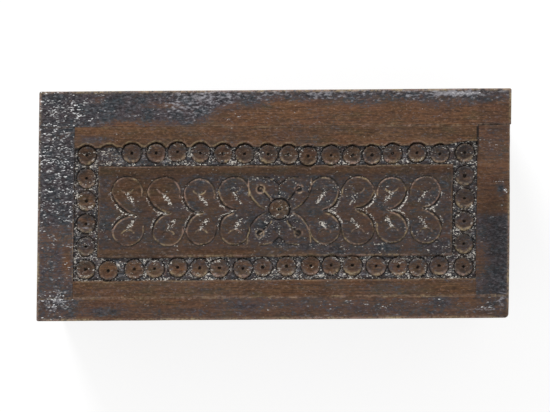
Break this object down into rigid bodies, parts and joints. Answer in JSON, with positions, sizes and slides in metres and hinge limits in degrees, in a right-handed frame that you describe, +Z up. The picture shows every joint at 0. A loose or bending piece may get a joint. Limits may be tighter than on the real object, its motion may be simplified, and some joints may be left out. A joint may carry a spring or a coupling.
{
  "type": "wooden box",
  "caption": "Long low wooden box with a hinged, carved lid: a frame of boards round a panel with a sunk border of rosettes and curled leaves.",
  "frame": {"origin": "middle of the underside of the bottom board", "axes": "+X along the front edge to the right, +Y to the back where the hinges are, +Z up through the lid"},
  "size_m": [0.303, 0.1469, 0.1063],
  "materials": {
    "lid_wood": "worn slate-grey paint over dark brown wood",
    "carved_wood": "dark brown carved wood with pale paint left in the cuts",
    "box_wood": "worn slate-grey paint over dark brown wood",
    "bottom_wood": "bare aged wood",
    "hinge_brass": "tarnished",
    "iron": "rusted"
  },
  "bodies": {
    "box": {"bottom_board": "bottom_wood", "front_wall": "box_wood", "back_wall": "box_wood", "left_wall": "box_wood", "right_wall": "box_wood", "wall_nails": "iron", "bottom_nails": "iron", "left_hinge_box_leaf": "hinge_brass", "right_hinge_box_leaf": "hinge_brass", "left_hinge_pin": "iron", "right_hinge_pin": "iron", "box_leaf_screws": "iron"},
    "lid": {"lid_panel": "carved_wood", "lid_back_rail": "lid_wood", "lid_front_rail": "lid_wood", "lid_left_stile": "lid_wood", "lid_right_stile": "lid_wood", "lid_nails": "iron", "left_hinge_lid_leaf": "hinge_brass", "right_hinge_lid_leaf": "hinge_brass", "lid_leaf_screws": "iron"}
  },
  "joints": [
    {"name": "lid_hinge", "type": "hinge", "parent": "box", "child": "lid", "pos_m": [0, 0.0723, 0.09015], "axis": [-1, 0, 0], "range_deg": [0, 115]}
  ]
}
